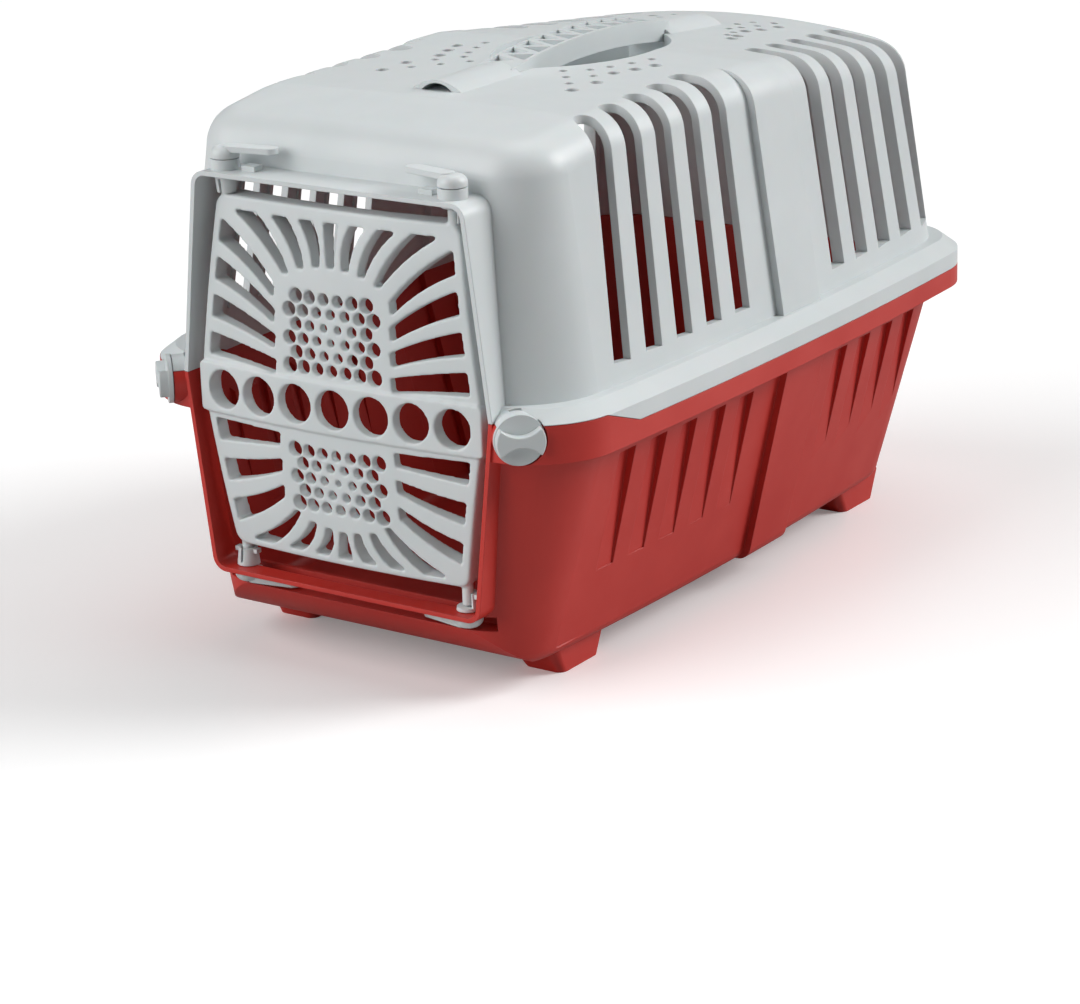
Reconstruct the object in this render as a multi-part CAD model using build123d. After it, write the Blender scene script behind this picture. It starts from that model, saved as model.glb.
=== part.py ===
from build123d import *
import math
import os

os.makedirs("parts", exist_ok=True)

# A cat carrier: lower tub, upper shell with a roof handle, pierced door in a six-sided front hood,
# four turning levers that hold the door's stub pins and two diagonal knobs at the front corners.
# All sizes are in millimetres. X is to the right, Y goes back from the door, Z is up.

# Shell walls and the running gaps between pieces
wall = 2.8
parting_gap = 0.3
turn_gap = 0.4

# Tub: outline at the floor and at the parting height
tub_floor_z = 16.0
tub_top_z = 152.0
tub_floor_half_width = 112.5
tub_top_half_width = 149.0
tub_floor_front = -231.0
tub_top_front = -234.0
tub_floor_rear = 205.0
tub_top_rear = 233.0
tub_floor_corner = 40.0
tub_top_corner = 55.0
tub_bottom_edge = 9.0
prow_radius = 50.0
prow_front = -236.0
prow_centre_z = 64.0
side_bulge = 8.0
end_bulge = 3.0

# Rim band around the parting line
rim_half_width = 155.4
rim_front = -240.0
rim_rear = 240.0
rim_corner = 47.0
rim_bottom_z = 142.5
rim_top_z = 164.0
rim_slope_height = 7.0
rim_slope_inset = 9.0

# Parting line, which steps up in front of the shoulders
parting_rear_z = 154.0
parting_front_z = 163.9
parting_step_front = -196.0
parting_step_rear = -167.0

# Upper shell: outline at its foot, draft of its walls and rounding of the roof edge
shell_foot_z = 150.0
shell_half_width = 143.0
shell_front = -234.5
shell_rear = 234.0
shell_corner = 53.0
shell_draft_degrees = 7.9
roof_z = 314.0
roof_round = 22.0
roof_front_y = -262.0
roof_front_z = 300.0
roof_crease_y = -150.0
roof_bend_y = 22.0
roof_rear_y = 262.0
roof_rear_z = 298.0
roof_side_x = 180.0
roof_side_drop = 6.0
roof_rear_side_drop = 36.0

# Raised band down the middle of each side
band_front = 1.0
band_rear = 44.0
band_height = 4.5
band_riser = 3.0
band_lean = 6.0

# Side slots in the upper shell and flutes in the tub
slot_pitch = 30.1
slots_in_group = 5
slot_width = 15.4
slot_front_start = -165.8
slot_rear_start = 66.0
slot_bottom_z = 182.0
slot_front_inner_x = 109.5
slot_rear_inner_x = 86.0
slot_inner_step = 2.7
front_lip_depth = 2.0
rear_lip_depth = 5.0
slot_lip_width = 2.4
slot_lean = 0.0005
flute_top_z = 133.0
flute_bottom_z = 62.0
flute_depth = 4.5
flute_front_start = -189.0

# Front hood around the door
hood_front = -240.0
hood_back = -170.0
hood_wall = 2.6
hood_top_z = 281.2
hood_mid_z = 163.9
hood_bottom_z = 48.4
hood_top_half = 91.3
hood_mid_half = 105.4
hood_bottom_half = 92.1
hood_corner = 9.0
hood_mid_corner = 14.0

# Door: a shallow dome panel, its outline and its waist band
door_front = -241.0
door_radius = 900.0
door_back_radius = 424.0
door_middle_thickness = 4.0
door_centre_z = 160.0
door_top_z = 267.5
door_bottom_z = 65.0
door_top_half = 82.0
door_bottom_half = 80.5
waist_half = 96.5
waist_top_half = 95.0
waist_bottom_half = 93.5
waist_top_z = 171.5
waist_bottom_z = 142.5
waist_proud = 1.6
waist_hole_radius = 11.2
waist_hole_pitch = 26.1
waist_hole_z = 157.0
door_corner = 8.0
door_edge_round = 1.5

# Slots that fan out from the two clusters of holes to the door's edges: centre and width at each end
stile = 5.5
upper_side_outer_z = 247.5
upper_side_outer_pitch = 21.7
upper_side_inner_z = 218.0
upper_side_inner_pitch = 14.0
upper_side_count = 4
lower_side_outer_z = 132.5
lower_side_outer_pitch = 23.7
lower_side_inner_z = 134.0
lower_side_inner_pitch = 15.2
lower_side_count = 3
side_slot_outer_width = 13.0
side_slot_inner_width = 7.8
side_slot_inner_x = 39.0
end_slot_outer_x = (0.0, 18.0, 37.0, 61.5)
end_slot_outer_width = (10.0, 10.5, 12.0, 18.0)
end_slot_inner_x = (0.0, 10.0, 20.5, 31.0)
end_slot_inner_width = (4.5, 4.5, 4.5, 4.5)
upper_end_inner_z = (235.5, 235.0, 233.0, 229.0)
lower_end_inner_z = (85.0, 86.0, 88.0, 93.0)
top_rail = 7.5
bottom_rail = 4.0
slot_bow = 2.4
slot_round = 1.1

# Round holes of the two clusters, small in the middle and larger outwards
cluster_pitch_x = 9.6
cluster_pitch_z = 7.9
cluster_columns = 3
upper_cluster_bottom_z = 178.5
upper_cluster_rows = 6
lower_cluster_bottom_z = 98.5
lower_cluster_rows = 5
cluster_hole_radius = 1.9
cluster_growth = 0.075

# Stub pins of the door and the turning levers that hold them
pin_x = 76.7
pin_y = -228.0
stub_radius = 3.2
upper_stub_length = 8.0
lower_stub_length = 11.0
socket_radius = 6.6
socket_bore_radius = 4.2
socket_length = 10.0
socket_cap = 2.0
stem_radius = 3.0
boss_radius = 8.2
boss_height = 6.0
lever_cap_radius = 8.2
lever_cap_height = 6.4
wing_length = 33.0
wing_width = 9.5
wing_thickness = 3.2
wing_degrees = 10.0
barb = 1.8
mouth_start_degrees = 120.0
mouth_degrees = 210.0

# Recess under the sill in which the lower levers turn
recess_half_width = 93.0
recess_back_y = -215.5
recess_bottom_z = 40.0

# Front corner knobs
knob_x = 119.2
knob_y = -235.6
knob_z = 157.0
knob_degrees = 45.0
knob_radius = 14.0
knob_disc = 2.6
grip_height = 5.4
grip_waist = 6.0
grip_scoop_radius = 15.0
knob_seat_gap = 0.8
knob_boss_radius = 13.6
knob_boss_length = 30.0
knob_shaft_radius = 4.6
knob_shaft_length = 16.0
release_width = 7.0
release_length = 2.6
release_back = 9.0

# Feet
foot_height = 16.0
foot_outer_x = 101.0
foot_inner_x = 74.5
foot_length = 38.0
foot_front_y = -174.8
foot_rear_y = 184.0
foot_flare = 9.0

# Roof: grip bar between two finger wells, spine, strap eyes and vents
grip_half_width = 12.5
grip_front = -79.0
grip_rear = 88.0
grip_end_z = 317.0
grip_crest_z = 324.0
grip_depth = 13.0
well_front = -58.0
well_rear = 82.0
well_half_width = 46.0
well_floor_z = 286.0
spine_half_width = 19.0
spine_height = 5.5
spine_front = -134.0
spine_rear = 143.0
eye_half_width = 11.0
eye_floor = 1.0
eye_height = 5.0
eye_depth = 22.0
truss_bays = 10
truss_depth = 3.0
truss_rib = 1.8
vent_large = 4.0
vent_small = 2.7
front_vent_starts = ((65.5, -97.0), (66.0, -73.0), (60.5, -47.0), (65.5, -32.0), (69.5, -17.0))
front_vent_rows = (4, 3, 2, 2, 2)
rear_vent_starts = ((52.0, 96.0), (49.0, 108.0), (42.0, 129.0), (45.0, 143.0), (46.0, 162.0))
rear_vent_rows = (2, 3, 3, 3, 2)


def outline(height, half_width, front, rear, corner):
    """Plan outline at one height: bowed sides and ends with rounded corners."""
    middle = (front + rear) / 2
    right = half_width - side_bulge
    near = front + end_bulge
    far = rear - end_bulge
    edges = [
        ThreePointArc((-right, near), (0, front), (right, near)),
        ThreePointArc((right, near), (half_width, middle), (right, far)),
        ThreePointArc((right, far), (0, rear), (-right, far)),
        ThreePointArc((-right, far), (-half_width, middle), (-right, near)),
    ]
    face = make_face(edges)
    face = fillet(face.vertices(), corner)
    return Pos(0, 0, height) * face


def roof_height(y):
    """Height of the roof along its middle: level between the crease and the bend, falling outside them."""
    if y < roof_crease_y:
        return roof_z - (roof_z - roof_front_z) * (roof_crease_y - y) / (roof_crease_y - roof_front_y)
    if y < roof_bend_y:
        return roof_z
    return roof_z - (roof_z - roof_rear_z) * (y - roof_bend_y) / (roof_rear_y - roof_bend_y)


def under_roof(inset):
    """Everything under the crowned roof, which falls and rounds off more towards the rear."""
    def section(y, middle_z, drop):
        side_z = middle_z - drop
        arc = ThreePointArc((-roof_side_x, side_z), (0, middle_z), (roof_side_x, side_z))
        below = Polyline([(roof_side_x, side_z), (roof_side_x, 100), (-roof_side_x, 100), (-roof_side_x, side_z)])
        face = make_face([arc, *below.edges()])
        return Plane(origin=(0, y, 0), x_dir=(1, 0, 0), z_dir=(0, -1, 0)) * face
    front = section(roof_front_y, roof_front_z - inset, roof_side_drop)
    crease = section(roof_crease_y, roof_z - inset, roof_side_drop)
    bend = section(roof_bend_y, roof_z - inset, roof_side_drop)
    rear = section(roof_rear_y, roof_rear_z - inset, roof_rear_side_drop)
    body = loft([front, crease], ruled=True) + loft([crease, bend], ruled=True)
    return body + loft([bend, rear], ruled=True)


def shell_form(inset, wider=0.0):
    """Solid form of the upper shell, drawn in by inset and made wider at the sides."""
    low = outline(shell_foot_z, shell_half_width + wider - inset, shell_front + inset, shell_rear - inset,
                  shell_corner - inset)
    form = extrude(low, roof_z + 8 - shell_foot_z, taper=shell_draft_degrees)
    form = largest(form & under_roof(inset))
    roof_faces = [face for face in form.faces() if face.center().Z > 290 and face.normal_at(face.center()).Z > 0.9]
    roof_edges = []
    for face in roof_faces:
        for edge in face.edges():
            middle = edge.position_at(0.5)
            at_bend = abs(middle.Y - roof_bend_y) < 3 or abs(middle.Y - roof_crease_y) < 3
            on_bend = at_bend and abs(middle.X) < 60
            known = any(edge.is_same(other) for other in roof_edges)
            if not on_bend and not known:
                roof_edges.append(edge)
    return fillet(roof_edges, roof_round - inset)


def tub_form(inset, wider=0.0):
    """Solid form of the tub, drawn in by inset and made wider at the sides."""
    low = outline(tub_floor_z + inset, tub_floor_half_width + wider - inset, tub_floor_front + inset,
                  tub_floor_rear - inset, tub_floor_corner - inset)
    high = outline(tub_top_z + 14, tub_top_half_width + wider - inset, tub_top_front + inset,
                   tub_top_rear - inset, tub_top_corner - inset)
    form = loft([low, high], ruled=True)
    floor_edges = form.faces().sort_by(Axis.Z)[0].edges()
    form = fillet(floor_edges, tub_bottom_edge - inset)
    return largest(form & behind_prow(inset))


def behind_prow(inset):
    """Everything behind the large round that the tub has under its front."""
    centre_y = prow_front + prow_radius
    radius = prow_radius - inset
    low_z = prow_centre_z - radius
    arc = ThreePointArc((centre_y - radius, prow_centre_z),
                        (centre_y - radius * math.sqrt(0.5), prow_centre_z - radius * math.sqrt(0.5)),
                        (centre_y, low_z))
    outer = Polyline([(centre_y, low_z), (320, low_z), (320, 220), (-320, 220), (-320, prow_centre_z),
                      (centre_y - radius, prow_centre_z)])
    face = make_face([arc, *outer.edges()])
    return extrude(Plane.YZ * face, 200, both=True)


def band_block(inset):
    """Block that keeps the middle stretch of a wider form, with sloping risers."""
    points = [
        (band_front + inset, 0),
        (band_rear - inset, 0),
        (band_rear - inset - band_lean, 320),
        (band_front + inset - band_lean, 320),
    ]
    face = make_face(Polyline(points, close=True))
    return extrude(Plane.YZ * face, 170, both=True)


def hood_face(inset):
    """Six-sided front view of the hood."""
    points = [
        (-hood_bottom_half + inset, hood_bottom_z + inset),
        (hood_bottom_half - inset, hood_bottom_z + inset),
        (hood_mid_half - inset, hood_mid_z),
        (hood_top_half - inset, hood_top_z - inset),
        (-hood_top_half + inset, hood_top_z - inset),
        (-hood_mid_half + inset, hood_mid_z),
    ]
    face = make_face(Polyline(points, close=True))
    ends = [v for v in face.vertices() if abs(v.Y - hood_mid_z) >= 1]
    face = fillet(ends, hood_corner - inset)
    waist = [v for v in face.vertices() if abs(v.Y - hood_mid_z) < 1]
    face = fillet(waist, hood_mid_corner)
    return face


def hood_form(inset, reach=0.0):
    """Prism of the hood from its lip back into the shell."""
    placed = Plane(origin=(0, hood_front - reach, 0), x_dir=(1, 0, 0), z_dir=(0, -1, 0)) * hood_face(inset)
    return extrude(placed, -(hood_back - hood_front + reach))


def below_parting(offset):
    """Everything under the stepped parting line."""
    points = [
        (-330, -50),
        (330, -50),
        (330, parting_rear_z + offset),
        (parting_step_rear, parting_rear_z + offset),
        (parting_step_front, parting_front_z + offset),
        (-330, parting_front_z + offset),
    ]
    face = make_face(Polyline(points, close=True))
    return extrude(Plane.YZ * face, 200, both=True)


def rim_outline(height, inset=0.0):
    return outline(height, rim_half_width - inset, rim_front + inset, rim_rear - inset, rim_corner - inset)


def slot_starts():
    """Front edge of each slot and how near to the middle it ends on the roof."""
    for group_start, inner_x in ((slot_front_start, slot_front_inner_x), (slot_rear_start, slot_rear_inner_x)):
        for number in range(slots_in_group):
            yield group_start + number * slot_pitch, inner_x - number * slot_inner_step


def slot_cutter(start, side, extra, inner_x):
    """Upright slot that leans a little towards the middle and is rounded at its inner end."""
    width = slot_width + 2 * extra
    centre = start + slot_width / 2
    reach = 170 - inner_x
    bar = Pos(inner_x + reach / 2, centre, 0) * Rectangle(reach, width)
    bar += Pos(inner_x, centre, 0) * Circle(width / 2)
    solid = extrude(Pos(0, 0, slot_bottom_z - extra) * bar, 160)
    lean = math.degrees(math.atan(slot_lean * centre))
    solid = solid.rotate(Axis((0, centre, slot_bottom_z), (1, 0, 0)), lean)
    return solid if side > 0 else mirror(solid, Plane.YZ)


def flute_cutter(start, side, extra):
    """Tapering groove in the tub wall, deepest under the rim."""
    slope = (tub_top_half_width - tub_floor_half_width) / (tub_top_z + 14 - tub_floor_z)
    def wall_x(z):
        return tub_floor_half_width + slope * (z - tub_floor_z)
    centre = start + slot_width / 2
    bow = side_bulge * (centre / 215) ** 2
    points = [
        (wall_x(flute_bottom_z) - bow - extra, flute_bottom_z),
        (wall_x(flute_top_z) - flute_depth - bow - extra, flute_top_z - 3),
        (wall_x(flute_top_z) - bow + 9, flute_top_z + 5),
        (wall_x(flute_top_z) + 25, flute_bottom_z),
    ]
    face = make_face(Polyline(points, close=True))
    half = slot_width / 2 + extra
    solid = extrude(Plane(origin=(0, centre, 0), x_dir=(1, 0, 0), z_dir=(0, -1, 0)) * face, half, both=True)
    return solid if side > 0 else mirror(solid, Plane.YZ)


def knob_plane(side, out=0.0):
    """Plane on the knob's axis, facing diagonally out, moved out along it."""
    turn = math.radians(knob_degrees)
    away = Vector(side * math.sin(turn), -math.cos(turn), 0)
    origin = Vector(side * knob_x, knob_y, knob_z) + away * out
    return Plane(origin=origin, x_dir=(math.cos(turn), side * math.sin(turn), 0), z_dir=away)


def knob_boss(side):
    return extrude(knob_plane(side, -turn_gap) * Circle(knob_boss_radius), -knob_boss_length)


def knob_seat(side):
    """Flat seat that lets the knob turn clear of the rim's round corner."""
    return extrude(knob_plane(side, -turn_gap) * Circle(knob_radius + knob_seat_gap), 20)


def release_pocket(side):
    """Small pocket in the top of the boss behind a knob."""
    plane = knob_plane(side, -release_back)
    pocket = Box(release_width, 6, release_length)
    return plane * (Pos(0, knob_boss_radius, 0) * pocket)


def knob_bore(side):
    depth = knob_shaft_length + turn_gap
    return extrude(knob_plane(side, 1) * Circle(knob_shaft_radius + turn_gap), -depth - 1)


def lever_recess(extra):
    """Shallow recess across the tub's front, right under the hood's sill."""
    depth = recess_back_y + extra + 260
    height = hood_bottom_z - recess_bottom_z + extra
    x_size = 2 * (recess_half_width + extra)
    centre = (0, recess_back_y + extra - depth / 2, hood_bottom_z - height / 2)
    return Pos(*centre) * Box(x_size, depth, height)


def make_tub():
    tub = tub_form(0)
    tub += tub_form(0, band_height) & band_block(0)
    tub += extrude(rim_outline(rim_bottom_z), rim_top_z - rim_bottom_z)
    tub += hood_form(0)
    for side in (-1, 1):
        tub += knob_boss(side)
    hollow = tub_form(wall)
    hollow += tub_form(wall, band_height) & band_block(wall)
    for side in (-1, 1):
        for start, inner_x in slot_starts():
            tub -= flute_cutter(start, side, 0)
            hollow -= flute_cutter(start, side, wall)
    hollow -= lever_recess(wall)
    tub -= hollow
    tub -= lever_recess(0)
    tub -= hood_form(hood_wall, 5)
    for side in (-1, 1):
        tub -= knob_seat(side)
        tub -= knob_bore(side)
        tub -= Pos(side * pin_x, pin_y, hood_bottom_z) * Cylinder(stem_radius + turn_gap, 12)
        for near in (foot_front_y, foot_rear_y - foot_length):
            tub += foot(side, near)
    return largest(tub & below_parting(0))


def foot(side, near):
    """Tapered foot that widens up into the floor."""
    low = Rectangle(foot_outer_x - foot_inner_x, foot_length)
    low = fillet(low.vertices(), 5)
    high = Rectangle(foot_outer_x - foot_inner_x + foot_flare, foot_length + 2 * foot_flare)
    high = fillet(high.vertices(), 6)
    x = side * (foot_outer_x + foot_inner_x) / 2
    y = near + foot_length / 2
    return loft([Pos(x, y, 0) * low, Pos(x - side * foot_flare / 2, y, foot_height + 1.5) * high], ruled=True)


def largest(shape):
    return shape.solids().sort_by(SortBy.VOLUME)[-1]


def grip_arc(lift):
    return ThreePointArc((grip_front, grip_end_z + lift), (0, grip_crest_z + lift), (grip_rear, grip_end_z + lift))


def well_face(inset):
    """Plan of both finger wells: a wide oval that the grip bar crosses."""
    half = well_half_width - inset
    near = well_front + inset
    far = well_rear - inset
    oval = make_face([
        ThreePointArc((-grip_half_width, near), (-half, (near + far) / 2), (-grip_half_width, far)),
        Line((-grip_half_width, far), (grip_half_width, far)),
        ThreePointArc((grip_half_width, far), (half, (near + far) / 2), (grip_half_width, near)),
        Line((grip_half_width, near), (-grip_half_width, near)),
    ])
    return oval


def grip_bar():
    """Arched bar with pockets between zigzag ribs in its top."""
    top = grip_arc(0)
    bottom = grip_arc(-grip_depth)
    side_face = make_face([top, Line(top @ 1, bottom @ 1), bottom, Line(bottom @ 0, top @ 0)])
    bar = extrude(Plane.YZ * side_face, grip_half_width, both=True)
    pitch = (grip_rear - grip_front - 12) / truss_bays
    cut_half = grip_half_width - 2.2
    depth_bottom = grip_arc(-truss_depth)
    pocket_space = make_face([
        Line((grip_front, 340), (grip_rear, 340)),
        Line((grip_rear, 340), depth_bottom @ 1),
        depth_bottom,
        Line(depth_bottom @ 0, (grip_front, 340)),
    ])
    above = extrude(Plane.YZ * pocket_space, grip_half_width, both=True)
    pockets = []
    for bay in range(truss_bays):
        start = grip_front + 6 + bay * pitch
        for side in (-1, 1):
            shift = 0 if side < 0 else pitch / 2
            if shift and bay == truss_bays - 1:
                continue
            points = [
                (side * cut_half, start + shift + truss_rib),
                (side * cut_half, start + shift + pitch - truss_rib),
                (side * (-cut_half + 5), start + shift + pitch / 2),
            ]
            triangle = make_face(Polyline(points, close=True))
            pockets.append(extrude(Pos(0, 0, 300) * triangle, 40))
    cut = pockets[0].fuse(*pockets[1:])
    bar -= cut & above
    return bar


def spine(front, rear):
    """Low rounded ridge that follows the roof in line with the grip bar."""
    sections = []
    for y in (front, rear):
        base = roof_height(y) - 2
        crest = roof_height(y) + spine_height
        arc = ThreePointArc((-spine_half_width, base), (0, crest), (spine_half_width, base))
        face = make_face([arc, Line(arc @ 1, arc @ 0)])
        sections.append(Plane(origin=(0, y, 0), x_dir=(1, 0, 0), z_dir=(0, -1, 0)) * face)
    return loft(sections, ruled=True)


def strap_eye(mouth, direction):
    """Arched opening in the end of the spine."""
    base = roof_height(mouth) - eye_floor
    arc = ThreePointArc((-eye_half_width, base), (0, base + eye_height), (eye_half_width, base))
    face = make_face([arc, Line(arc @ 1, arc @ 0)])
    placed = Plane(origin=(0, mouth, 0), x_dir=(1, 0, 0), z_dir=(0, -1, 0)) * face
    return extrude(placed, -direction * eye_depth)


def vents():
    """Round vents beside the wells: a long row near each well and shorter rows outwards."""
    places = []
    for column, count in enumerate(front_vent_rows):
        start_x, start_y = front_vent_starts[column]
        for row in range(count):
            radius = vent_large if row == 0 else vent_small
            places.append((start_x - row * 11, start_y + row * 13.5, radius))
    for column, count in enumerate(rear_vent_rows):
        start_x, start_y = rear_vent_starts[column]
        for row in range(count):
            radius = vent_large if row == 0 else vent_small
            places.append((start_x - row * 9.5, start_y + row * 11, radius))
    holes = []
    for x, y, radius in places:
        for side in (-1, 1):
            holes.append(Pos(side * x, y, 305) * Cylinder(radius, 30))
    return holes[0].fuse(*holes[1:])


def make_top():
    top = shell_form(0)
    top += shell_form(0, band_height) & band_block(0)
    top += extrude(rim_outline(rim_bottom_z), rim_top_z - rim_bottom_z)
    slope_foot = rim_outline(rim_top_z)
    slope_head = rim_outline(rim_top_z + rim_slope_height, rim_slope_inset)
    top += loft([slope_foot, slope_head], ruled=True)
    top += hood_form(0)
    top += spine(spine_front, grip_front + 4)
    top += spine(grip_rear - 4, spine_rear)
    for side in (-1, 1):
        top += knob_boss(side)
        top += Pos(side * pin_x, pin_y, hood_top_z + boss_height / 2 - 1) * Cylinder(boss_radius, boss_height + 2)
        top += Pos(side * (pin_x - 17), pin_y + 2, hood_top_z + 1) * Box(9, 7, 4)
    well_outer = extrude(Pos(0, 0, well_floor_z - wall) * well_face(-wall), 60)
    well_inner = extrude(Pos(0, 0, well_floor_z) * well_face(0), 60)
    hollow = shell_form(wall)
    hollow += shell_form(wall, band_height) & band_block(wall)
    hollow -= well_outer
    for group, lip_depth in ((0, front_lip_depth), (1, rear_lip_depth)):
        lips = []
        for side in (-1, 1):
            for start, inner_x in list(slot_starts())[group * slots_in_group:(group + 1) * slots_in_group]:
                lips.append(slot_cutter(start, side, slot_lip_width, inner_x))
        frames = lips[0].fuse(*lips[1:])
        hollow -= frames - shell_form(wall + lip_depth)
    top -= hollow
    top -= well_inner
    top += grip_bar()
    top -= hood_form(hood_wall, 5)
    slots = []
    for side in (-1, 1):
        for start, inner_x in slot_starts():
            slots.append(slot_cutter(start, side, 0, inner_x))
    top -= slots[0].fuse(*slots[1:])
    top -= strap_eye(spine_front - 1, 1)
    top -= strap_eye(spine_rear + 1, -1)
    top -= vents()
    for side in (-1, 1):
        top -= Pos(side * pin_x, pin_y, hood_top_z) * Cylinder(stem_radius + turn_gap, 30)
        top -= knob_seat(side)
        top -= knob_bore(side)
        top -= release_pocket(side)
    return largest(top - below_parting(parting_gap))


def door_side(z):
    """Half width of the door at a height, without the ears of the waist band."""
    if z > waist_top_z:
        share = (z - waist_top_z) / (door_top_z - waist_top_z)
        return waist_top_half + share * (door_top_half - waist_top_half)
    if z > waist_bottom_z:
        return waist_bottom_half
    share = (waist_bottom_z - z) / (waist_bottom_z - door_bottom_z)
    return waist_bottom_half + share * (door_bottom_half - waist_bottom_half)


def front_view(face, near=-260.0, far=-200.0):
    """Prism of a front-view face through the door."""
    placed = Plane(origin=(0, near, 0), x_dir=(1, 0, 0), z_dir=(0, -1, 0)) * face
    return extrude(placed, near - far)


def dome(proud):
    """Lens that gives the door its domed front and the deeper hollow of its back."""
    front = Pos(0, door_front - proud + door_radius, door_centre_z) * Sphere(door_radius)
    back = Pos(0, door_front + door_middle_thickness + door_back_radius, door_centre_z) * Sphere(door_back_radius)
    return front - back


def fan_slot(inner_a, inner_b, outer_a, outer_b, bow):
    """Slot between two long bowed edges, from its inner end to its outer end."""
    def middle(start, end):
        run = Vector(*end) - Vector(*start)
        square = Vector(-run.Y, run.X).normalized()
        centre = (Vector(*end) + Vector(*start)) * 0.5
        return centre + square * (bow + 0.02)
    edges = [
        ThreePointArc(inner_a, middle(inner_a, outer_a), outer_a),
        Line(outer_a, outer_b),
        ThreePointArc(outer_b, middle(inner_b, outer_b), inner_b),
        Line(inner_b, inner_a),
    ]
    face = make_face(edges)
    return fillet(face.vertices(), slot_round)


def side_slots(outer_z, outer_pitch, inner_z, inner_pitch, count, bow):
    """Row of slots between a cluster and the right stile."""
    for number in range(count):
        out_z = outer_z - number * outer_pitch
        in_z = inner_z - number * inner_pitch
        half_out = side_slot_outer_width / 2
        half_in = side_slot_inner_width / 2
        top_x = door_side(out_z + half_out) - stile
        low_x = door_side(out_z - half_out) - stile
        curve = bow * (count - number) / count if bow > 0 else bow * number / count
        yield fan_slot((side_slot_inner_x, in_z + half_in), (side_slot_inner_x + 1, in_z - half_in),
                       (top_x, out_z + half_out), (low_x, out_z - half_out), curve)


def end_slots(edge_z, inner_heights, bow):
    """Slots between a cluster and the top or bottom edge, right of the middle."""
    for number in range(1, len(end_slot_outer_x)):
        inner_x = end_slot_inner_x[number]
        outer_x = end_slot_outer_x[number]
        half_in = end_slot_inner_width[number] / 2
        half_out = end_slot_outer_width[number] / 2
        height = inner_heights[number]
        yield fan_slot((inner_x - half_in, height), (inner_x + half_in, height), (outer_x - half_out, edge_z),
                       (outer_x + half_out, edge_z), bow)


def middle_slot(edge_z, height):
    half_in = end_slot_inner_width[0] / 2
    half_out = end_slot_outer_width[0] / 2
    return fan_slot((-half_in, height), (half_in, height), (-half_out, edge_z), (half_out, edge_z), 0.01)


def cluster(bottom_z, rows):
    """Staggered round holes whose size grows away from the cluster's middle."""
    centre_z = bottom_z + (rows - 1) * cluster_pitch_z / 2
    for row in range(rows):
        z = bottom_z + row * cluster_pitch_z
        shift = 0.5 * (row % 2)
        for column in range(-cluster_columns, cluster_columns + 1 - row % 2):
            x = (column + shift) * cluster_pitch_x
            radius = cluster_hole_radius + cluster_growth * math.hypot(x, z - centre_z)
            yield Pos(x, z) * Circle(radius)


def door_pattern():
    """All openings of the door as one set of front-view faces."""
    top_line = door_top_z - top_rail
    bottom_line = door_bottom_z + bottom_rail
    right = list(side_slots(upper_side_outer_z, upper_side_outer_pitch, upper_side_inner_z,
                            upper_side_inner_pitch, upper_side_count, slot_bow))
    right += list(side_slots(lower_side_outer_z, lower_side_outer_pitch, lower_side_inner_z,
                             lower_side_inner_pitch, lower_side_count, -slot_bow))
    right += list(end_slots(top_line, upper_end_inner_z, slot_bow))
    right += list(end_slots(bottom_line, lower_end_inner_z, -slot_bow))
    faces = right + [mirror(face, Plane.YZ) for face in right]
    faces.append(middle_slot(top_line, upper_end_inner_z[0]))
    faces.append(middle_slot(bottom_line, lower_end_inner_z[0]))
    faces += list(cluster(upper_cluster_bottom_z, upper_cluster_rows))
    faces += list(cluster(lower_cluster_bottom_z, lower_cluster_rows))
    faces += [Pos(number * waist_hole_pitch, waist_hole_z) * Circle(waist_hole_radius) for number in range(-3, 4)]
    return faces


def make_door():
    panel_points = [
        (-door_bottom_half, door_bottom_z),
        (door_bottom_half, door_bottom_z),
        (waist_bottom_half, waist_bottom_z),
        (waist_top_half, waist_top_z),
        (door_top_half, door_top_z),
        (-door_top_half, door_top_z),
        (-waist_top_half, waist_top_z),
        (-waist_bottom_half, waist_bottom_z),
    ]
    panel = make_face(Polyline(panel_points, close=True))
    corners = [v for v in panel.vertices() if v.Y > door_top_z - 1 or v.Y < door_bottom_z + 1]
    panel = fillet(corners, door_corner)
    waist_height = waist_top_z - waist_bottom_z
    waist = Pos(0, (waist_top_z + waist_bottom_z) / 2) * Rectangle(2 * waist_half, waist_height)
    waist = fillet(waist.vertices(), 3)
    door = front_view(panel) & dome(0)
    door = fillet(door.faces().sort_by(Axis.Y)[0].edges(), door_edge_round)
    door += front_view(waist) & dome(waist_proud)
    cutters = [front_view(face) for face in door_pattern()]
    door -= cutters[0].fuse(*cutters[1:])
    for side in (-1, 1):
        for edge_z, length in ((door_top_z, upper_stub_length), (door_bottom_z, -lower_stub_length)):
            root = math.copysign(4, length)
            middle_z = edge_z + (length - root) / 2
            door += Pos(side * pin_x, pin_y, middle_z) * Cylinder(stub_radius, abs(length + root))
    return largest(door)


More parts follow.
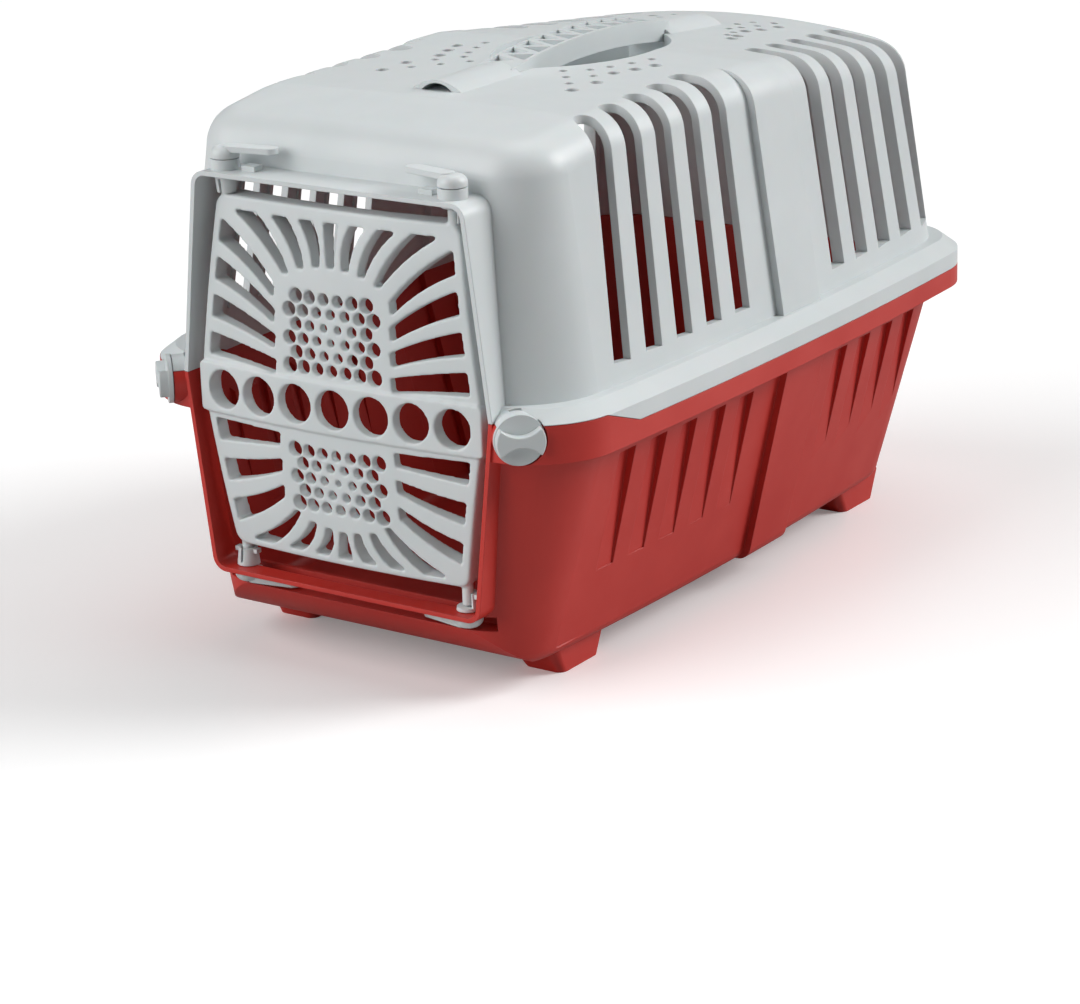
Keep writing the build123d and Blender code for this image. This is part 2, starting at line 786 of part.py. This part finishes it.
def lever(side, direction):
    """Turning lever: domed cap, wing and stem. Direction is 1 on the hood's top and -1 under its sill."""
    if direction > 0:
        seat_z = hood_top_z + boss_height
        stem_end = hood_top_z - hood_wall
    else:
        seat_z = hood_bottom_z
        stem_end = hood_bottom_z + hood_wall
    seat_z += direction * turn_gap
    stem_end -= direction * turn_gap
    cap = Cylinder(lever_cap_radius, lever_cap_height)
    dome_edge = cap.faces().sort_by(Axis.Z)[-1].edges()
    cap = fillet(dome_edge, lever_cap_height - 1.5)
    wing_plan = Rectangle(wing_length, wing_width)
    wing_plan = Pos(wing_length / 2, 0) * fillet(wing_plan.vertices(), wing_width / 2 - 0.3)
    wing = extrude(Pos(0, 0, 0.4) * wing_plan, wing_thickness)
    head = cap + wing
    turn = 180 - wing_degrees if side > 0 else wing_degrees
    head = Rot(0, 0, turn) * head
    if direction < 0:
        head = mirror(head, Plane.XY)
    head = Pos(0, 0, seat_z + direction * lever_cap_height / 2) * head
    stem_height = abs(seat_z - stem_end)
    stem = Pos(0, 0, (seat_z + stem_end) / 2) * Cylinder(stem_radius, stem_height)
    return Pos(side * pin_x, pin_y, 0) * (head + stem)


def socket(side, direction):
    """Socket that holds a stub pin. The left ones are closed rings with a slit; the right ones open forwards."""
    if direction > 0:
        cap_z = hood_top_z - hood_wall - turn_gap
    else:
        cap_z = hood_bottom_z + hood_wall + turn_gap
    body = Cone(socket_radius - 1.2, socket_radius, socket_length)
    for ear_turn in (0, 180):
        ear = Rot(0, 0, ear_turn) * (Pos(socket_radius - 0.6, 0, -socket_length / 2 + 1.6) * Box(barb * 2, 4, 2.6))
        if direction < 0:
            body += ear
    body -= Pos(0, 0, -socket_cap) * Cylinder(socket_bore_radius, socket_length)
    if side > 0:
        body -= Pos(0, 0, -socket_cap) * mouth()
    else:
        body -= Pos(0, -socket_radius, -socket_cap) * Box(1.6, socket_radius, socket_length)
    if direction < 0:
        body = mirror(body, Plane.XY)
    return largest(Pos(side * pin_x, pin_y, cap_z - direction * socket_length / 2) * body)


def mouth():
    """Wedge that opens the front of a right socket, wide enough at both ends of its quarter turn."""
    reach = 3 * socket_radius
    points = [(0, 0)]
    steps = 5
    for step in range(steps + 1):
        angle = math.radians(mouth_start_degrees + mouth_degrees * step / steps)
        points.append((reach * math.cos(angle), reach * math.sin(angle)))
    face = make_face(Polyline(points, close=True))
    return extrude(face, socket_length / 2, both=True)


def knob(side):
    """Round knob with a scooped grip bar, and the shaft behind it."""
    plane = knob_plane(side)
    disc = extrude(plane * Circle(knob_radius), knob_disc)
    away = knob_disc + grip_height
    grip = extrude(plane * Circle(knob_radius - 0.6), away)
    scoop_shift = grip_scoop_radius + grip_waist / 2
    for turn in (-1, 1):
        grip -= extrude(plane * (Pos(0, turn * scoop_shift) * Circle(grip_scoop_radius)), away + 2)
    outer = grip.faces().sort_by(Axis(plane.origin, plane.z_dir))[-1]
    grip = fillet(outer.edges(), 0.8)
    shaft = extrude(plane * Circle(knob_shaft_radius), -knob_shaft_length)
    return disc + grip + shaft


def main():
    pieces = {"base_tub": make_tub(), "top_shell": make_top(), "door": make_door()}
    for side_name, side in (("left", -1), ("right", 1)):
        for level_name, direction in (("upper", 1), ("lower", -1)):
            pieces[f"{level_name}_{side_name}_lever"] = lever(side, direction)
            pieces[f"{level_name}_{side_name}_socket"] = socket(side, direction)
        pieces[f"{side_name}_knob"] = knob(side)
    boxes = [shape.bounding_box() for shape in pieces.values()]
    near = min(box.min.Y for box in boxes)
    far = max(box.max.Y for box in boxes)
    shift = -(near + far) / 2
    for name, shape in pieces.items():
        export_step(shape.moved(Location((0, shift, 0))), f"parts/{name}.step")
    print(f"near {near:.3f}, far {far:.3f}, shift {shift:.3f}")


if __name__ == "__main__":
    main()
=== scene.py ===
import math
import bmesh
import bpy
from mathutils import Matrix, Vector


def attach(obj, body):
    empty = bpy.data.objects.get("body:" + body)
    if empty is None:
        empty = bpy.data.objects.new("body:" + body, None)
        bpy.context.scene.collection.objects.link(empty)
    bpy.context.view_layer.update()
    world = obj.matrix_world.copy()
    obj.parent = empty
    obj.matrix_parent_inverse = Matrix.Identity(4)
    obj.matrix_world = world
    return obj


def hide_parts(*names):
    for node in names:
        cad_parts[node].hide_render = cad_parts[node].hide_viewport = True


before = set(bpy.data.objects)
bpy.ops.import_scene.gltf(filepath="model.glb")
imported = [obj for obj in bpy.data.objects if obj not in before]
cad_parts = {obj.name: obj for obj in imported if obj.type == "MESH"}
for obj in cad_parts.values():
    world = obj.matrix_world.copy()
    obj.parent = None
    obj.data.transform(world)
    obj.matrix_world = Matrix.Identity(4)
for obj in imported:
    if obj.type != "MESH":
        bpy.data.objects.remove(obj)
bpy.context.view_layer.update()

# A moulded cat carrier: red tub, pale grey slotted top and pierced door, all polypropylene.
MM = 0.001


def linear(hex_colour):
    """Turn an sRGB hex colour such as d6dbdc into linear red, green, blue and alpha."""
    channels = []
    for start in (0, 2, 4):
        value = int(hex_colour[start:start + 2], 16) / 255
        if value <= 0.04045:
            channels.append(value / 12.92)
        else:
            channels.append(((value + 0.055) / 1.055) ** 2.4)
    return (*channels, 1.0)


def add_node(tree, kind, inputs=None, links=None, **settings):
    """Add a node to a tree, set its properties and inputs, and link outputs into it."""
    node = tree.nodes.new(kind)
    for name, value in settings.items():
        setattr(node, name, value)
    for name, value in (inputs or {}).items():
        node.inputs[name].default_value = value
    for name, output in (links or {}).items():
        tree.links.new(output, node.inputs[name])
    return node


# Moulded polypropylene is a waxy, faintly cloudy plastic with a fine spark-eroded grain from the mould.
# The grain of a real mould is about 0.2 mm, too fine to show here, so it is drawn three times as coarse.
GRAIN_MM = 0.6
GRAIN_HEIGHT_MM = 0.2
GRAIN_STRENGTH = 0.05
FLOW_MM = 70.0
CLOUD_RANGE = (0.35, 0.65)
GLOSS_RANGE = (0.3, 0.7)
SMOOTHER = -0.05
ROUGHER = 0.06
EDGE_ROUND_MM = 0.7
EDGE_SAMPLES = 4
SCATTER_MM = 1.2
POLYPROPYLENE_IOR = 1.49


def moulded_polypropylene(name, colour, deep_colour, roughness, scatter):
    """Polypropylene: grain bump, slow cloudy change of tone and gloss, softened edges and some scatter."""
    material = bpy.data.materials.new(name)
    material.use_nodes = True
    tree = material.node_tree
    tree.nodes.clear()
    place = add_node(tree, "ShaderNodeTexCoord").outputs["Object"]
    flow = add_node(tree, "ShaderNodeTexNoise",
                    {"Scale": 1 / (FLOW_MM * MM), "Detail": 3.0, "Roughness": 0.55}, {"Vector": place})
    grain = add_node(tree, "ShaderNodeTexNoise",
                     {"Scale": 1 / (GRAIN_MM * MM), "Detail": 2.0, "Roughness": 0.6}, {"Vector": place})
    cloud = add_node(tree, "ShaderNodeMapRange",
                     {"From Min": CLOUD_RANGE[0], "From Max": CLOUD_RANGE[1], "To Min": 0.0, "To Max": 1.0},
                     {"Value": flow.outputs["Fac"]})
    tone = add_node(tree, "ShaderNodeMix", {"A": linear(colour), "B": linear(deep_colour)},
                    {"Factor": cloud.outputs["Result"]}, data_type="RGBA")
    gloss = add_node(tree, "ShaderNodeMapRange",
                     {"From Min": GLOSS_RANGE[0], "From Max": GLOSS_RANGE[1],
                      "To Min": roughness + SMOOTHER, "To Max": roughness + ROUGHER},
                     {"Value": flow.outputs["Fac"]})
    soft_edges = add_node(tree, "ShaderNodeBevel", {"Radius": EDGE_ROUND_MM * MM}, samples=EDGE_SAMPLES)
    grain_bump = add_node(tree, "ShaderNodeBump",
                          {"Strength": GRAIN_STRENGTH, "Distance": GRAIN_HEIGHT_MM * MM},
                          {"Height": grain.outputs["Fac"], "Normal": soft_edges.outputs["Normal"]})
    shader = add_node(tree, "ShaderNodeBsdfPrincipled",
                      {"IOR": POLYPROPYLENE_IOR, "Subsurface Weight": scatter,
                       "Subsurface Scale": SCATTER_MM * MM},
                      {"Base Color": tone.outputs["Result"], "Roughness": gloss.outputs["Result"],
                       "Normal": grain_bump.outputs["Normal"]})
    add_node(tree, "ShaderNodeOutputMaterial", links={"Surface": shader.outputs["BSDF"]})
    return material


GREY = moulded_polypropylene("moulded_grey_polypropylene", "d6dbdc", "d0d6d7", 0.40, 0.08)
RED = moulded_polypropylene("moulded_red_polypropylene", "c63127", "be2c23", 0.42, 0.0)

for node_name, node_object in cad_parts.items():
    finish = RED if node_name == "base_tub" else GREY
    node_object.data.materials.clear()
    node_object.data.materials.append(finish)


# The door's ribs and the rims of its holes are rounded by about 1 mm, so their edges catch the light.
DOOR_MERGE_MM = 0.01
DOOR_GRID_MM = 0.8
DOOR_SMOOTH_FACTOR = 0.5
DOOR_SMOOTH_STEPS = 3
DOOR_KEPT_SHARE = 0.5


def softened_copy(node_name, body_name, material):
    """Copy of a CAD piece whose edges are rounded as the mould leaves them."""
    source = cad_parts[node_name]
    mesh = source.data.copy()
    mesh.transform(source.matrix_world)
    form = bmesh.new()
    form.from_mesh(mesh)
    bmesh.ops.remove_doubles(form, verts=form.verts, dist=DOOR_MERGE_MM * MM)
    form.to_mesh(mesh)
    form.free()
    piece = bpy.data.objects.new(node_name + "_softened", mesh)
    bpy.context.scene.collection.objects.link(piece)
    remesh = piece.modifiers.new("remesh", "REMESH")
    remesh.mode = "VOXEL"
    remesh.voxel_size = DOOR_GRID_MM * MM
    smooth = piece.modifiers.new("smooth", "SMOOTH")
    smooth.factor = DOOR_SMOOTH_FACTOR
    smooth.iterations = DOOR_SMOOTH_STEPS
    fewer = piece.modifiers.new("fewer", "DECIMATE")
    fewer.ratio = DOOR_KEPT_SHARE
    ready = piece.evaluated_get(bpy.context.evaluated_depsgraph_get())
    softened = bpy.data.meshes.new_from_object(ready)
    piece.modifiers.clear()
    piece.data = softened
    softened.materials.clear()
    softened.materials.append(material)
    softened.shade_smooth()
    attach(piece, body_name)
    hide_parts(node_name)


softened_copy("door", "door", GREY)

# Floor and light of a plain product picture: a soft light in front on the left, one behind on the right
# and a weak one overhead. The floor looks white to the camera but throws back less light than white paper.
FLOOR_HALF = 6.0
FLOOR_THROWN = "b4b4b4"
FLOOR_SEEN = "f8f8f8"
FLOOR_LIFT = 0.16
ROOM_LIGHT = 0.10
LAMP_DISTANCE = 2.5
LEFT_FRONT = Vector((-0.75, -1.0, 0.70))
LEFT_FRONT_STRENGTH = 2.3
RIGHT_BACK = Vector((0.85, 0.75, 0.65))
RIGHT_BACK_STRENGTH = 2.4
OVERHEAD = Vector((0.1, 0.4, 1.0))
OVERHEAD_STRENGTH = 0.9
WIDE_DEGREES = 60
NARROW_DEGREES = 30


def studio_floor():
    """Square of white paper, a little brighter where the camera looks straight at it."""
    mesh = bpy.data.meshes.new("studio_floor")
    corners = [(-FLOOR_HALF, -FLOOR_HALF, 0), (FLOOR_HALF, -FLOOR_HALF, 0),
               (FLOOR_HALF, FLOOR_HALF, 0), (-FLOOR_HALF, FLOOR_HALF, 0)]
    mesh.from_pydata(corners, [], [(0, 1, 2, 3)])
    floor = bpy.data.objects.new("studio_floor", mesh)
    bpy.context.scene.collection.objects.link(floor)
    material = bpy.data.materials.new("white_paper_floor")
    material.use_nodes = True
    tree = material.node_tree
    tree.nodes.clear()
    path = add_node(tree, "ShaderNodeLightPath")
    colour = add_node(tree, "ShaderNodeMix", {"A": linear(FLOOR_THROWN), "B": linear(FLOOR_SEEN)},
                      {"Factor": path.outputs["Is Camera Ray"]}, data_type="RGBA")
    paper = add_node(tree, "ShaderNodeBsdfPrincipled", {"Roughness": 0.4, "Specular IOR Level": 0.3},
                     {"Base Color": colour.outputs["Result"]})
    seen = add_node(tree, "ShaderNodeMath", {1: FLOOR_LIFT}, {0: path.outputs["Is Camera Ray"]},
                    operation="MULTIPLY")
    lift = add_node(tree, "ShaderNodeEmission", {"Color": (1, 1, 1, 1)}, {"Strength": seen.outputs[0]})
    both = add_node(tree, "ShaderNodeAddShader", links={0: paper.outputs[0], 1: lift.outputs[0]})
    add_node(tree, "ShaderNodeOutputMaterial", links={"Surface": both.outputs[0]})
    mesh.materials.append(material)


def softbox(name, direction, strength, spread_degrees):
    """Even light from far away, soft because it comes from a wide patch of the room."""
    light = bpy.data.lights.new(name, "SUN")
    light.energy = strength
    light.angle = math.radians(spread_degrees)
    holder = bpy.data.objects.new(name, light)
    bpy.context.scene.collection.objects.link(holder)
    aim = direction.normalized()
    holder.location = aim * LAMP_DISTANCE
    holder.rotation_mode = "QUATERNION"
    holder.rotation_quaternion = aim.to_track_quat("Z", "Y")


def studio_world():
    """White behind the object for the camera, and only a faint light from it on everything else."""
    world = bpy.data.worlds.new("studio_world")
    bpy.context.scene.world = world
    world.use_nodes = True
    tree = world.node_tree
    tree.nodes.clear()
    path = add_node(tree, "ShaderNodeLightPath")
    light = add_node(tree, "ShaderNodeBackground", {"Color": (1, 1, 1, 1), "Strength": ROOM_LIGHT})
    backdrop = add_node(tree, "ShaderNodeBackground", {"Color": (1, 1, 1, 1), "Strength": 1.0})
    mix = add_node(tree, "ShaderNodeMixShader",
                   links={0: path.outputs["Is Camera Ray"], 1: light.outputs[0], 2: backdrop.outputs[0]})
    add_node(tree, "ShaderNodeOutputWorld", links={"Surface": mix.outputs[0]})


# Camera of the photograph, worked out from about sixty points measured in it
FOCAL_PIXELS = 3363.72
IMAGE_WIDTH = 1080
IMAGE_HEIGHT = 1004
AZIMUTH = 34.70
ELEVATION = 18.25
ROLL = -1.75
DISTANCE = 2057.59 * MM
CENTRE_ROW = 490.08
SENSOR_MM = 36.0
CLIP_NEAR = 0.05
CLIP_FAR = 50
TARGET = Vector((-21.32, -9.39, 42.14)) * MM


def photo_camera():
    """Camera that looks at TARGET from the photograph's side, height and distance, with its slight roll."""
    azimuth = math.radians(AZIMUTH)
    elevation = math.radians(ELEVATION)
    roll = math.radians(ROLL)
    back = Vector((math.sin(azimuth) * math.cos(elevation), -math.cos(azimuth) * math.cos(elevation),
                   math.sin(elevation)))
    level_right = Vector((math.cos(azimuth), math.sin(azimuth), 0))
    level_up = back.cross(level_right)
    right = level_right * math.cos(roll) + level_up * math.sin(roll)
    up = level_up * math.cos(roll) - level_right * math.sin(roll)
    data = bpy.data.cameras.new("photo_camera")
    data.sensor_fit = "HORIZONTAL"
    data.sensor_width = SENSOR_MM
    data.lens = FOCAL_PIXELS / IMAGE_WIDTH * SENSOR_MM
    data.shift_y = (CENTRE_ROW - IMAGE_HEIGHT / 2) / IMAGE_WIDTH
    data.clip_start = CLIP_NEAR
    data.clip_end = CLIP_FAR
    camera = bpy.data.objects.new("photo_camera", data)
    bpy.context.scene.collection.objects.link(camera)
    place = TARGET + back * DISTANCE
    turn = Matrix((right, up, back)).transposed().to_4x4()
    camera.matrix_world = Matrix.Translation(place) @ turn
    bpy.context.scene.camera = camera


studio_floor()
studio_world()
softbox("left_front_softbox", LEFT_FRONT, LEFT_FRONT_STRENGTH, WIDE_DEGREES)
softbox("right_back_softbox", RIGHT_BACK, RIGHT_BACK_STRENGTH, NARROW_DEGREES)
softbox("overhead_softbox", OVERHEAD, OVERHEAD_STRENGTH, WIDE_DEGREES)
photo_camera()
bpy.context.scene.view_settings.view_transform = "Standard"
